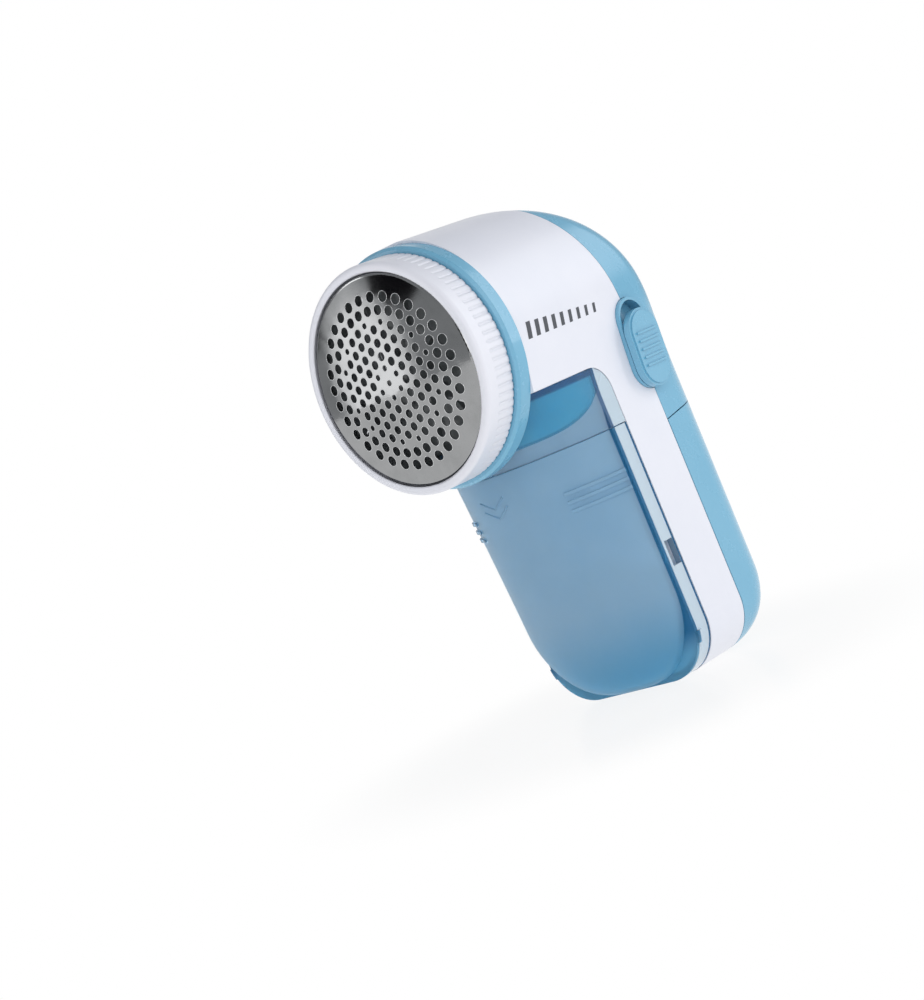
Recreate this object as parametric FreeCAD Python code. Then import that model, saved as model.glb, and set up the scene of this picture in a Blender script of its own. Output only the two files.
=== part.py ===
import FreeCAD, Part
import math
import os

# Battery fabric shaver: a round cutting head on an upright battery handle, with a lint bin in front.
# Frame: +Z up the handle, the head faces -Y, the switch is on the +X side, the base is at Z = 0.
# Depths D are counted backwards from the plane of the foil's rim, so Y = FACE_Y + D.

# ---- driving dimensions, in millimetres ----
FACE_Y = -36.0
HEAD_Z = 96.5
TOP_Z = 128.0
BODY_BACK_D = 74.6

WALL = 2.0
SEAM_GAP = 0.15
BARREL_FRONT_D = 13.3
BARREL_HALF_FRONT = 31.5
BARREL_HALF_BACK = 24.6
HANDLE_HALF_FRONT = 27.2
HANDLE_HALF_BACK = 24.6
WAIST_Z = 72.0
BASE_CORNER_R = 13.0
BASE_TRIM = 0.05
CROWN_FLAT = 0.4
BACK_TOP_R = 36.0
BACK_BOTTOM_R = 18.0
BACK_EDGE_R = 9.0
HANDLE_FRONT_D = 42.8
BARREL_FLOOR_Z = 81.2
SEAM_CORNER_R = 7.0

SPINE_D = 58.2
SPINE_ARC_START_Z = 80.0
SPINE_ARC_R = 130.0
DOOR_SEAM_Z = 61.5
DOOR_SEAM_RISE = 2.6
DOOR_GAP = 0.3

FOIL_R = 27.3
FOIL_RISE = 2.6
FOIL_RIM_R = 27.0
FOIL_THICK = 0.35
FOIL_SKIRT = 3.0
FOIL_SHOULDER_R = 1.6
HOLE_PITCH = 3.33
LATTICE_TILT = 23.8
HOLE_R = 1.13
SMALL_HOLE_R = 0.76
OUTER_RINGS = ((21.1, 1.35, 1.5), (17.9, 1.28, 7.1))
OUTER_RING_COUNT = 32

CAP_R = 29.3
CAP_BORE_R = 27.6
CAP_REAR_D = 8.8
CAP_LIP_D = -0.7
CAP_OUTER_ROUND = 1.2
CAP_INNER_ROUND = 0.35
CAP_FLUTES = 84
FLUTE_R = 0.45
FLUTE_FRONT_D = 3.4
COLLAR_R = 30.8
COLLAR_BORE_R = 27.9

CHAMBER_R = 26.5
CHAMBER_WALL = 1.6
CHAMBER_FRONT_D = 3.3
SPOUT_HALF = 9.5
SPOUT_LOW_Z = 71.2
SPOUT_HIGH_Z = 78.2
SPOUT_END_D = 21.5

BIN_BACK_D = 36.6
BIN_HALF = 25.3
BIN_DEPTH_TOP = 22.1
BIN_DEPTH_BOTTOM = 9.9
BIN_WALL = 1.8
BIN_BOTTOM_R = 19.4
BIN_BOTTOM_RISE = 22.0
BIN_TUCK = 0.85
BIN_FLOOR_Z = 0.6
BIN_TOP_Z = 65.3
NECK_BOTTOM_Z = 65.6
NECK_TOP_HALF = 26.9
NECK_SQUARENESS = 0.9
NECK_LINE = 1.1

SHAFT_R = 1.0
SHAFT_BORE_R = 1.03
MOTOR_R = 12.0
MOTOR_FRONT_D = 24.0
MOTOR_BACK_D = 50.0

CELL_R = 7.15
CELL_X = 7.5
CELL_D = 58.4
CELL_BOTTOM_Z = 8.0
CELL_TOP_Z = 57.3

SWITCH_D = 58.4
SWITCH_Z = 80.3
SWITCH_SURFACE_X = 25.9
SWITCH_TILT = 4.0
SWITCH_TURN = 4.0
SLIDER_LENGTH = 20.4
SLIDER_WIDTH = 12.6
SWITCH_TRAVEL = 3.5

SCREW_PLACES = ((19.5, 113.2), (50.0, 113.2), (48.6, 68.5))


# ---- small helpers ----
def point(x, d, z):
    return FreeCAD.Vector(x, FACE_Y + d, z)


ALONG_X = FreeCAD.Vector(1, 0, 0)
ALONG_Y = FreeCAD.Vector(0, 1, 0)
ALONG_Z = FreeCAD.Vector(0, 0, 1)


def block(x0, x1, d0, d1, z0, z1):
    return Part.makeBox(x1 - x0, d1 - d0, z1 - z0, point(x0, d0, z0))


def rod_y(radius, d0, d1, x=0.0, z=HEAD_Z):
    return Part.makeCylinder(radius, d1 - d0, point(x, d0, z), ALONG_Y)


def rod_z(radius, z0, z1, x, d):
    return Part.makeCylinder(radius, z1 - z0, point(x, d, z0), ALONG_Z)


def rod_x(radius, x0, x1, d, z):
    return Part.makeCylinder(radius, x1 - x0, point(x0, d, z), ALONG_X)


def tube_y(outer, inner, d0, d1, z=HEAD_Z):
    return rod_y(outer, d0, d1, z=z).cut(rod_y(inner, d0 - 1, d1 + 1, z=z))


def line(a, b):
    return Part.LineSegment(a, b).toShape()


def arc(a, middle, b):
    return Part.Arc(a, middle, b).toShape()


def side_arc(d, z, radius, start, end):
    """An arc in the side view about (d, z), its angles in degrees from +D towards +Z."""
    spots = []
    for angle in (start, (start + end) / 2.0, end):
        turn = math.radians(angle)
        spots.append(point(0, d + radius * math.cos(turn), z + radius * math.sin(turn)))
    return arc(*spots)


def bezier(*poles):
    curve = Part.BezierCurve()
    curve.setPoles(list(poles))
    return curve.toShape()


def across(edges, half=40.0):
    """A side-view outline made solid across the whole width."""
    face = Part.Face(Part.Wire(edges))
    face.translate(FreeCAD.Vector(-half, 0, 0))
    return face.extrude(FreeCAD.Vector(2 * half, 0, 0))


def stadium(length, width, thick):
    """A plate in the YZ plane with round ends, its long way up, standing on X = 0."""
    radius = width / 2.0
    reach = length / 2.0 - radius
    plate = Part.makeBox(thick, width, 2 * reach, FreeCAD.Vector(0, -radius, -reach))
    for end in (-reach, reach):
        plate = plate.fuse(Part.makeCylinder(radius, thick, FreeCAD.Vector(0, 0, end), ALONG_X))
    return plate.removeSplitter()


def fillet_where(shape, radius, wanted):
    chosen = [edge for edge in shape.Edges if wanted(edge)]
    return shape.makeFillet(radius, chosen)


# ---- outer form of the body ----
def cross_section(d, crown_half, handle_half, inset):
    """The front-view outline of the body at depth d. Its foot is a little low, to be planed flat."""
    kappa = 0.5523
    half = crown_half - inset
    rise = TOP_Z - HEAD_Z - inset
    low = handle_half - inset
    base = inset - BASE_TRIM
    corner = BASE_CORNER_R - inset
    bend = 10.0

    def right_side(s):
        crown = bezier(point(0, d, HEAD_Z + rise), point(s * kappa * half, d, HEAD_Z + rise),
                       point(s * half, d, HEAD_Z + kappa * rise), point(s * half, d, HEAD_Z))
        flank = bezier(point(s * half, d, HEAD_Z), point(s * half, d, HEAD_Z - bend),
                       point(s * low, d, WAIST_Z + bend), point(s * low, d, WAIST_Z))
        side = line(point(s * low, d, WAIST_Z), point(s * low, d, base + corner))
        knee = corner * (1 - math.sqrt(0.5))
        turn = arc(point(s * low, d, base + corner), point(s * (low - knee), d, base + knee),
                   point(s * (low - corner), d, base))
        return [crown, flank, side, turn]

    floor = line(point(low - corner, d, base), point(corner - low, d, base))
    left = list(reversed(right_side(-1)))
    return Part.Wire(Part.__sortEdges__(right_side(1) + [floor] + left))


def tapered_body(inset):
    front = cross_section(0.0, BARREL_HALF_FRONT, HANDLE_HALF_FRONT, inset)
    back = cross_section(BODY_BACK_D + 6.0, BARREL_HALF_BACK, HANDLE_HALF_BACK, inset)
    return Part.makeLoft([front, back], True, True)


def side_outline(inset, front_d):
    """The side view of the casing: barrel on top, handle below, with a round inner corner."""
    top = TOP_Z - CROWN_FLAT - inset
    back = BODY_BACK_D - inset
    floor = BARREL_FLOOR_Z + inset
    front = HANDLE_FRONT_D + inset
    top_r = BACK_TOP_R - inset
    low_r = BACK_BOTTOM_R - inset
    corner = SEAM_CORNER_R + inset
    return [
        line(point(0, front_d, top), point(0, back - top_r, top)),
        side_arc(back - top_r, top - top_r, top_r, 90, 0),
        line(point(0, back, top - top_r), point(0, back, inset + low_r)),
        side_arc(back - low_r, inset + low_r, low_r, 0, -90),
        line(point(0, back - low_r, inset), point(0, front, inset)),
        line(point(0, front, inset), point(0, front, floor - corner)),
        side_arc(front - corner, floor - corner, corner, 0, 90),
        line(point(0, front - corner, floor), point(0, front_d, floor)),
        line(point(0, front_d, floor), point(0, front_d, top)),
    ]


def round_back(shape, inset):
    """Rounds the long edge that runs over the crown, down the back and under the base."""
    back = FACE_Y + BODY_BACK_D - inset
    arc_start = back - BACK_TOP_R + inset
    low_start = back - BACK_BOTTOM_R + inset

    def on_back_edge(edge):
        middle = edge.valueAt((edge.FirstParameter + edge.LastParameter) / 2.0)
        if abs(middle.x) < 1.0:
            return False
        depth = middle.y - FACE_Y
        on_top = middle.z > TOP_Z - CROWN_FLAT - inset - 0.01
        over_crown = middle.z > HEAD_Z and middle.y > arc_start + 0.5
        down_back = abs(middle.y - back) < 0.01
        under_base = middle.z < BACK_BOTTOM_R and middle.y > low_start + 0.5
        long_enough = edge.Length > 2.0
        return long_enough and depth > BARREL_FRONT_D and (
            on_top or over_crown or down_back or under_base)

    return fillet_where(shape, BACK_EDGE_R - inset, on_back_edge)


def casing_form(inset, front_d):
    rough = tapered_body(inset).common(across(side_outline(inset, front_d)))
    return round_back(rough.Solids[0], inset)


# ---- casing pieces ----
def spine_region(gap):
    """Everything behind the line where the spine cover meets the two white shells."""
    line_d = SPINE_D + gap
    centre_d = line_d - SPINE_ARC_R
    reach = 30.0
    lean = math.radians(reach)
    high = point(0, centre_d + SPINE_ARC_R * math.cos(lean), SPINE_ARC_START_Z + SPINE_ARC_R * math.sin(lean))
    low = point(0, line_d, -5.0)
    start = point(0, line_d, SPINE_ARC_START_Z)
    far_high = point(0, 95.0, high.z)
    far_low = point(0, 95.0, -5.0)
    return across([
        line(low, start),
        side_arc(centre_d, SPINE_ARC_START_Z, SPINE_ARC_R, 0, reach),
        line(high, far_high),
        line(far_high, far_low),
        line(far_low, low),
    ])


def below_door_seam(gap):
    """The part of the spine that is the battery door: its upper edge climbs towards the back."""
    near = DOOR_SEAM_Z - gap
    far = DOOR_SEAM_Z + DOOR_SEAM_RISE * 2.0 - gap
    far_d = SPINE_D + (BODY_BACK_D - SPINE_D) * 2.0
    near_d = SPINE_D - 5.0
    corners = [point(0, near_d, near - 0.8), point(0, far_d, far), point(0, far_d, -5.0), point(0, near_d, -5.0)]
    return across([line(corners[i], corners[(i + 1) % 4]) for i in range(4)])


def place_on_switch_side(shape):
    """Moves a shape drawn flat on X = 0 to the tilted patch where the thumb switch sits."""
    shape.rotate(FreeCAD.Vector(0, 0, 0), ALONG_Y, SWITCH_TILT)
    shape.rotate(FreeCAD.Vector(0, 0, 0), ALONG_Z, SWITCH_TURN)
    shape.translate(point(SWITCH_SURFACE_X, SWITCH_D, SWITCH_Z))
    return shape


def switch_plate(length, width, inner, outer, shift=0.0):
    plate = stadium(length, width, outer - inner)
    plate.translate(FreeCAD.Vector(inner, 0, shift))
    return place_on_switch_side(plate)


def screw_boss(side, d, z):
    """One boss on the shell's inner face; it stops just short of the middle."""
    if side > 0:
        return rod_x(3.2, 0.05, 24.5, d, z)
    return rod_x(3.2, -24.5, -0.05, d, z)


def housing_half(side, shell, boss_space):
    """One white shell, cut at the middle plane, with its bosses and screw passages."""
    if side > 0:
        half_space = block(SEAM_GAP / 2.0, 40, -5, 95, -5, 140)
    else:
        half_space = block(-40, -SEAM_GAP / 2.0, -5, 95, -5, 140)
    half = shell.common(half_space)
    for d, z in SCREW_PLACES:
        half = half.fuse(screw_boss(side, d, z).common(boss_space))
    for d, z in SCREW_PLACES:
        if side > 0:
            half = half.cut(rod_x(1.1, -1, 12, d, z))
        else:
            half = half.cut(rod_x(1.5, -40, 1, d, z))
            half = half.cut(rod_x(2.7, -40, -20.5, d, z))
    return half


def housing_screws():
    """Three long self-tapping screws that enter from the left shell."""
    screws = []
    for d, z in SCREW_PLACES:
        shank = rod_x(1.05, -22.6, 9.0, d, z)
        head = rod_x(2.4, -22.6, -20.6, d, z)
        cross = block(-22.7, -21.8, d - 1.7, d + 1.7, z - 0.3, z + 0.3)
        cross = cross.fuse(block(-22.7, -21.8, d - 0.3, d + 0.3, z - 1.7, z + 1.7))
        screws.append(shank.fuse(head).cut(cross))
    return Part.makeCompound(screws)


# ---- cutting head ----
def revolve_outline(corners):
    """A closed outline of (radius, depth) corners turned about the head's axis."""
    spots = [point(radius, depth, HEAD_Z) for radius, depth in corners]
    edges = [line(spots[i], spots[(i + 1) % len(spots)]) for i in range(len(spots))]
    face = Part.Face(Part.Wire(edges))
    return face.revolve(point(0, 0, HEAD_Z), ALONG_Y, 360)


def round_edge_at(edge, radius, d):
    """Whether an edge is the circle of this radius about the head's axis at depth d."""
    box = edge.BoundBox
    return box.YLength < 0.01 and abs(box.YMin - FACE_Y - d) < 0.01 and abs(box.XMax - radius) < 0.05


def collar_ring():
    step = 0.7
    return revolve_outline([
        (COLLAR_BORE_R, CAP_REAR_D + 0.3),
        (COLLAR_R - step, CAP_REAR_D + 0.3),
        (COLLAR_R, CAP_REAR_D + 0.3 + step),
        (COLLAR_R, BARREL_FRONT_D),
        (COLLAR_BORE_R, BARREL_FRONT_D),
    ])


def cap_ring():
    """The screw-on retaining ring: rounded lip, smooth band, then fine grip flutes."""
    lip_back_d = -0.25
    ring = revolve_outline([
        (FOIL_RIM_R, lip_back_d),
        (FOIL_RIM_R, CAP_LIP_D),
        (CAP_R, CAP_LIP_D),
        (CAP_R, CAP_REAR_D),
        (CAP_BORE_R, CAP_REAR_D),
        (CAP_BORE_R, lip_back_d),
    ])
    ring = fillet_where(ring, CAP_OUTER_ROUND, lambda edge: round_edge_at(edge, CAP_R, CAP_LIP_D))
    ring = fillet_where(ring, CAP_INNER_ROUND, lambda edge: round_edge_at(edge, FOIL_RIM_R, CAP_LIP_D))
    for index in range(CAP_FLUTES):
        turn = 2 * math.pi * index / CAP_FLUTES
        radius = CAP_R + FLUTE_R * 0.45
        x = radius * math.cos(turn)
        z = HEAD_Z + radius * math.sin(turn)
        ring = ring.cut(rod_y(FLUTE_R, FLUTE_FRONT_D, CAP_REAR_D + 1, x, z))
    return ring


def ball_on_axis(radius):
    """A large ball whose front pole is the foil's crown, for domed faces."""
    reach = (FOIL_R ** 2 + FOIL_RISE ** 2) / (2 * FOIL_RISE)
    return Part.makeSphere(reach + radius, point(0, reach - FOIL_RISE, HEAD_Z))


def foil_holes():
    """Hole centres and radii: two outer rings, then a hexagonal lattice with small centre holes."""
    holes = []
    for radius, hole, start in OUTER_RINGS:
        for index in range(OUTER_RING_COUNT):
            turn = math.radians(start) + 2 * math.pi * index / OUTER_RING_COUNT
            holes.append((radius * math.cos(turn), radius * math.sin(turn), hole))
    holes.append((0.0, 0.0, SMALL_HOLE_R))
    for ring in range(1, 6):
        for sector in range(6):
            a = math.radians(LATTICE_TILT + 60 * sector)
            b = math.radians(LATTICE_TILT + 60 * (sector + 2))
            for step in range(ring):
                if ring == 5 and step == 0:
                    continue
                spread = 1.12 if ring == 1 else 1.0
                x = HOLE_PITCH * spread * (ring * math.cos(a) + step * math.cos(b))
                y = HOLE_PITCH * spread * (ring * math.sin(a) + step * math.sin(b))
                hole = HOLE_R
                if ring == 1 or (ring == 5 and step in (1, 4)):
                    hole = SMALL_HOLE_R
                if ring == 5 and step in (1, 4):
                    x *= 0.985
                    y *= 0.985
                holes.append((x, y, hole))
    return holes


def foil_plug(inset):
    """The solid inside one skin of the foil: domed front, rounded shoulder, straight skirt."""
    radius = FOIL_R - inset
    plug = ball_on_axis(-inset).common(rod_y(radius, -6, FOIL_SKIRT))

    def on_shoulder(edge):
        box = edge.BoundBox
        return box.YMax < FACE_Y + 1.0 and abs(box.XMax - radius) < 0.05 and box.ZLength > radius

    return fillet_where(plug, FOIL_SHOULDER_R - inset, on_shoulder)


def foil_guard():
    """The domed, perforated steel foil with its rim skirt."""
    hollow = foil_plug(FOIL_THICK).fuse(rod_y(FOIL_R - FOIL_THICK, FOIL_SKIRT - 0.5, FOIL_SKIRT + 1))
    drills = [rod_y(hole, -6, FOIL_SKIRT, x, HEAD_Z + z) for x, z, hole in foil_holes()]
    return foil_plug(0.0).cut(hollow).cut(Part.makeCompound(drills)).removeSplitter()


def cutting_chamber():
    """The cup behind the foil, with the lint spout low in its rear wall."""
    inner = CHAMBER_R - CHAMBER_WALL
    back = BARREL_FRONT_D - 0.1
    cup = rod_y(CHAMBER_R, CHAMBER_FRONT_D, back).cut(rod_y(inner, CHAMBER_FRONT_D - 1, back - CHAMBER_WALL))
    seat = tube_y(COLLAR_BORE_R - 0.05, CHAMBER_R - 0.2, CAP_REAR_D + 0.5, back)
    spout = block(-SPOUT_HALF, SPOUT_HALF, back - CHAMBER_WALL, SPOUT_END_D, SPOUT_LOW_Z, SPOUT_HIGH_Z)
    passage = block(1.2 - SPOUT_HALF, SPOUT_HALF - 1.2, back - 4, SPOUT_END_D + 1,
                    SPOUT_LOW_Z + 1.2, SPOUT_HIGH_Z - 1.2)
    boss = rod_y(4.5, back - CHAMBER_WALL, back + 1.5)
    chamber = cup.fuse(seat).fuse(spout).fuse(boss)
    return chamber.cut(passage).cut(rod_y(1.6, 0, 20))


def cutter_hub():
    hub = rod_y(5.2, 2.6, 6.4).fuse(rod_y(3.4, 0.4, 2.6))
    for turn in (90, 210, 330):
        slot = block(-0.24, 0.24, -1.0, 3.9, HEAD_Z, HEAD_Z + 9)
        slot.rotate(point(0, 0, HEAD_Z), ALONG_Y, turn - 90)
        hub = hub.cut(slot)
    bore = rod_y(SHAFT_BORE_R, -1, 8)
    return hub.cut(bore)


def cutter_blade(turn):
    """A thin steel blade on edge, its front edge shaped to the dome of the foil."""
    blade = block(-0.2, 0.2, -4.0, 3.8, HEAD_Z + 1.3, HEAD_Z + 23.4)
    blade = blade.common(ball_on_axis(-FOIL_THICK - 0.35))
    relief = rod_x(26.0, -2, 2, 28.6, HEAD_Z + 18.0)
    blade = blade.cut(relief)
    blade.rotate(point(0, 0, HEAD_Z), ALONG_Y, turn)
    return blade


def cutter_spring():
    return tube_y(2.1, 1.35, 6.5, 8.0)


def fan_impeller():
    """A back plate with eight swept vanes that throw the lint down the spout."""
    fan = rod_y(22.0, 9.9, 11.0)
    for index in range(8):
        vane = block(-0.5, 0.5, 8.1, 10.0, HEAD_Z + 7.0, HEAD_Z + 21.5)
        vane.rotate(point(0, 0, HEAD_Z + 7.0), ALONG_Y, 18)
        vane.rotate(point(0, 0, HEAD_Z), ALONG_Y, 45 * index)
        fan = fan.fuse(vane)
    fan = fan.fuse(rod_y(3.4, 8.1, 11.0))
    return fan.cut(rod_y(SHAFT_BORE_R, 0, 20))


# ---- motor ----
def drive_shaft():
    return rod_y(SHAFT_R, 1.2, MOTOR_BACK_D + 4.4)


def motor_can():
    can = rod_y(MOTOR_R, MOTOR_FRONT_D, MOTOR_BACK_D)
    can = can.cut(rod_y(MOTOR_R - 0.8, MOTOR_FRONT_D + 0.8, MOTOR_BACK_D + 1))
    can = can.fuse(rod_y(3.4, MOTOR_FRONT_D - 1.8, MOTOR_FRONT_D + 1.6))
    return can.cut(rod_y(2.5, 0, MOTOR_BACK_D))


def motor_bush(d0, d1):
    return tube_y(2.45, SHAFT_BORE_R, d0, d1)


def motor_magnets():
    ring = tube_y(MOTOR_R - 0.85, 9.0, MOTOR_FRONT_D + 3.0, MOTOR_BACK_D - 3.0)
    gap = block(-20, 20, 0, 80, HEAD_Z - 3.5, HEAD_Z + 3.5)
    return ring.cut(gap)


def armature():
    """Three laminated poles with their windings' bulk, turning with the shaft."""
    core = rod_y(3.6, MOTOR_FRONT_D + 5.0, MOTOR_BACK_D - 6.0)
    for index in range(3):
        pole = block(-1.4, 1.4, MOTOR_FRONT_D + 6.0, MOTOR_BACK_D - 7.0, HEAD_Z, HEAD_Z + 7.0)
        shoe = tube_y(8.5, 7.0, MOTOR_FRONT_D + 6.0, MOTOR_BACK_D - 7.0)
        shoe = shoe.common(block(-5.2, 5.2, 0, 80, HEAD_Z + 4.0, HEAD_Z + 12.0))
        pole = pole.fuse(shoe)
        pole.rotate(point(0, 0, HEAD_Z), ALONG_Y, 120 * index)
        core = core.fuse(pole)
    return core.cut(rod_y(SHAFT_BORE_R, 0, 80))


def commutator():
    return tube_y(2.9, SHAFT_BORE_R, MOTOR_BACK_D - 5.8, MOTOR_BACK_D - 1.2)


def motor_end_cap():
    cap = rod_y(MOTOR_R - 0.85, MOTOR_BACK_D - 0.9, MOTOR_BACK_D).fuse(rod_y(MOTOR_R, MOTOR_BACK_D, MOTOR_BACK_D + 1.6))
    cap = cap.fuse(rod_y(4.0, MOTOR_BACK_D, MOTOR_BACK_D + 3.6))
    for side in (-1, 1):
        tab = block(side * 7.0 - 1.2, side * 7.0 + 1.2, MOTOR_BACK_D + 1.0, MOTOR_BACK_D + 5.2,
                    HEAD_Z - 0.25, HEAD_Z + 0.25)
        cap = cap.fuse(tab)
    return cap.cut(rod_y(2.5, 0, 80))


def motor_bracket(cavity_form):
    """A plate across the barrel that carries the motor by its nose."""
    plate = block(-40, 40, MOTOR_FRONT_D - 1.9, MOTOR_FRONT_D - 0.1, BARREL_FLOOR_Z, TOP_Z)
    plate = plate.common(cavity_form)
    for side in (-1, 1):
        arm = block(side * 15.0 - 1.5, side * 15.0 + 1.5, MOTOR_FRONT_D - 1.0, MOTOR_FRONT_D + 16.0,
                    HEAD_Z - 6.0, HEAD_Z + 6.0)
        plate = plate.fuse(arm)
    plate = plate.cut(rod_y(3.5, 0, 80))
    for side in (-1, 1):
        plate = plate.cut(rod_y(1.1, 0, 80, side * 7.5, HEAD_Z))
    for d, z in SCREW_PLACES:
        plate = plate.cut(rod_x(4.0, -40, 40, d, z))
    return plate


def motor_screws():
    screws = []
    for side in (-1, 1):
        shank = rod_y(1.0, MOTOR_FRONT_D - 1.95, MOTOR_FRONT_D - 0.05, side * 7.5, HEAD_Z)
        head = rod_y(1.9, MOTOR_FRONT_D - 3.2, MOTOR_FRONT_D - 1.92, side * 7.5, HEAD_Z)
        screws.append(shank.fuse(head))
    return Part.makeCompound(screws)


# ---- lint path: neck and bin ----
def d_outline(z, inset, depth, half_width=BIN_HALF, kappa=0.5523):
    """The bin's plan view at height z: half an ellipse in front, square at the back."""
    half = half_width - inset
    reach = depth - inset
    back = BIN_BACK_D + 1.6
    left = bezier(point(-half, BIN_BACK_D, z), point(-half, BIN_BACK_D - kappa * reach, z),
                  point(-kappa * half, BIN_BACK_D - reach, z), point(0, BIN_BACK_D - reach, z))
    right = bezier(point(0, BIN_BACK_D - reach, z), point(kappa * half, BIN_BACK_D - reach, z),
                   point(half, BIN_BACK_D - kappa * reach, z), point(half, BIN_BACK_D, z))
    side_right = line(point(half, BIN_BACK_D, z), point(half, back, z))
    rear = line(point(half, back, z), point(-half, back, z))
    side_left = line(point(-half, back, z), point(-half, BIN_BACK_D, z))
    return Part.Wire([left, right, side_right, rear, side_left])


def bin_depth(z):
    """How far the bin bulges forward at height z: it is a wedge that draws in towards the base."""
    return BIN_DEPTH_BOTTOM + (BIN_DEPTH_TOP - BIN_DEPTH_BOTTOM) * z / BARREL_FLOOR_Z


def rounded_bin_form(inset):
    """The wedge-shaped column with the bin's plan view, rounded under like the bottom of a cup."""
    rise = BIN_BOTTOM_RISE - inset
    steps = 8
    sections = []
    for step in range(steps + 1):
        turn = math.radians(90.0 * step / steps)
        z = BIN_FLOOR_Z + inset + rise * (1 - math.cos(turn))
        drawn_in = 1 - math.sin(turn)
        half = BIN_HALF - inset - (BIN_BOTTOM_R - inset) * drawn_in
        depth = (bin_depth(z) - inset) * (1 - BIN_TUCK * drawn_in)
        sections.append(d_outline(z, 0.0, depth, half))
    base = Part.makeLoft(sections, True, False)
    low = BIN_FLOOR_Z + inset + rise
    column = Part.makeLoft([
        d_outline(low, inset, bin_depth(low)),
        d_outline(BARREL_FLOOR_Z, inset, BIN_DEPTH_TOP),
    ], True, True)
    return base.fuse(column)


def flange_form(body_form):
    """The rail behind the bin: a band flush with the handle, with a round upper corner."""
    front = BIN_BACK_D
    back = HANDLE_FRONT_D - SEAM_GAP
    high = BARREL_FLOOR_Z - SEAM_GAP
    corner = SEAM_CORNER_R
    sweep = 80.0
    end_d = back - corner + corner * math.cos(math.radians(sweep))
    end_z = high - corner + corner * math.sin(math.radians(sweep))
    outline = [
        line(point(0, front, 0), point(0, back, 0)),
        line(point(0, back, 0), point(0, back, high - corner)),
        side_arc(back - corner, high - corner, corner, 0, sweep),
        line(point(0, end_d, end_z), point(0, front, end_z)),
        line(point(0, front, end_z), point(0, front, 0)),
    ]
    return body_form.common(across(outline))


def neck_form(inset):
    """The throat's outside: the bin's plan view below, flaring to the barrel's own width above."""
    high = BARREL_FLOOR_Z - SEAM_GAP
    low = d_outline(NECK_BOTTOM_Z, inset, bin_depth(NECK_BOTTOM_Z))
    front_reach = BIN_BACK_D - BARREL_FRONT_D - 0.2
    top = d_outline(high, inset, front_reach, NECK_TOP_HALF, NECK_SQUARENESS)
    return Part.makeLoft([low, top], True, True).common(tapered_body(SEAM_GAP))


def catch_window(side, grow=0.0):
    x = side * 26.0
    return block(x - 4, x + 4, 38.6 - grow, 42.0 + grow, 27.9 - grow, 34.5 + grow)


def bin_ribs(side):
    """Three raised grip bars on the side of the bin."""
    bars = []
    for z in (54.9, 52.6, 50.3):
        bars.append(block(side * 22.0 - 6, side * 22.0 + 6, 19.0, 35.6, z - 0.45, z + 0.45))
    return Part.makeCompound(bars)


def lint_bin():
    """The clear bin: a cup with a rail at its open back, grip bars, catch windows and a foot tab."""
    behind_rail_front = block(-40, 40, BIN_BACK_D + 1.5, 60, -5, 90)
    rail_hollow = flange_form(tapered_body(BIN_WALL + SEAM_GAP)).common(behind_rail_front)
    box = rounded_bin_form(0.0).fuse(flange_form(tapered_body(SEAM_GAP)))
    box = box.cut(rounded_bin_form(BIN_WALL)).cut(rail_hollow)
    box = box.common(block(-40, 40, 0, 60, -5, BIN_TOP_Z))
    skin = rounded_bin_form(-0.55).cut(rounded_bin_form(0.4))
    for side in (-1, 1):
        box = box.fuse(skin.common(bin_ribs(side)))
        box = box.cut(catch_window(side))
    tab = block(-28, 28, 36.9, 39.0, 8.0, 11.0).common(tapered_body(-0.6)).cut(tapered_body(0.6))
    return box.fuse(tab).removeSplitter()


def neck_chute():
    """The fixed throat between the barrel and the bin, with the upper end of the rail."""
    above_bin = block(-40, 40, 0, 60, NECK_BOTTOM_Z, 90)
    neck = neck_form(0.0).fuse(flange_form(tapered_body(SEAM_GAP)).common(above_bin))
    hollow = neck_form(BIN_WALL).fuse(flange_form(tapered_body(BIN_WALL + SEAM_GAP)))
    high = BARREL_FLOOR_Z - SEAM_GAP
    roof = block(-40, 40, BIN_BACK_D - 4.0, HANDLE_FRONT_D - 3.0, high - 6.0, high - NECK_LINE)
    neck = neck.cut(hollow).cut(roof.common(tapered_body(BIN_WALL + SEAM_GAP)))
    front = block(-SPOUT_HALF - 0.3, SPOUT_HALF + 0.3, 10, SPOUT_END_D + 2.5, SPOUT_LOW_Z - 0.3, SPOUT_HIGH_Z + 0.3)
    return neck.cut(front).removeSplitter()


def bin_catches():
    """Two spring blades on the handle's front wall that hold the bin's rail."""
    blades = []
    for side in (-1, 1):
        x = side * 21.6
        blade = block(x - 0.8, x + 0.8, 37.6, HANDLE_FRONT_D - 0.05, 28.6, 33.8)
        nose = rod_z(0.8, 28.6, 33.8, x + side * 0.9, 39.6)
        blades.append(blade.fuse(nose))
    return Part.makeCompound(blades)


# ---- power ----
def battery_cell(side, up):
    x = side * CELL_X
    can = rod_z(CELL_R, CELL_BOTTOM_Z, CELL_TOP_Z - 1.0, x, CELL_D)
    if up:
        nub = rod_z(2.7, CELL_TOP_Z - 1.0, CELL_TOP_Z, x, CELL_D)
    else:
        can.translate(FreeCAD.Vector(0, 0, 1.0))
        nub = rod_z(2.7, CELL_BOTTOM_Z, CELL_BOTTOM_Z + 1.0, x, CELL_D)
    return can.fuse(nub)


def battery_springs():
    low = rod_z(3.2, 5.4, CELL_BOTTOM_Z - 0.05, CELL_X, CELL_D).cut(rod_z(2.4, 5, 9, CELL_X, CELL_D))
    high = rod_z(3.2, CELL_TOP_Z + 0.05, 59.5, -CELL_X, CELL_D).cut(rod_z(2.4, 57, 61, -CELL_X, CELL_D))
    return Part.makeCompound([low, high])


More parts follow.
